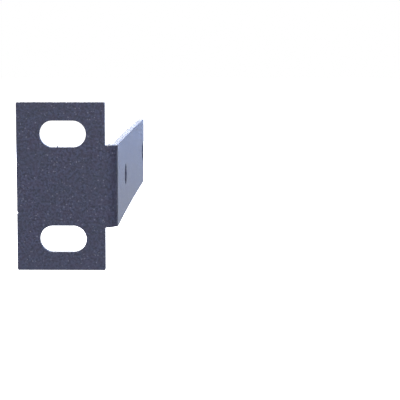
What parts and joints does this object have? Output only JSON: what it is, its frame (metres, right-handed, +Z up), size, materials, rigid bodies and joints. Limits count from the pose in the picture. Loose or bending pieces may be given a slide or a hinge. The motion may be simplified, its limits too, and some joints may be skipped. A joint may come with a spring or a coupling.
{
  "type": "rack mount ear bracket",
  "caption": "Folded steel rack ear: a slotted face plate, a narrower neck and a long side flange at a right angle, powder coated dark slate.",
  "frame": {"origin": "midway between the two rack slots, on the face of the plate that seats on the rack rail", "axes": "+Y back from the rail along the side flange, +Z up along the line of the rack slots, +X across the face plate towards the side flange's outer face"},
  "size_m": [0.0303, 0.135, 0.0508],
  "materials": {
    "powder_coat": "fine-textured dark slate powder coat, satin"
  },
  "bodies": {
    "root": {"ear_bracket": "powder_coat"}
  },
  "joints": []
}
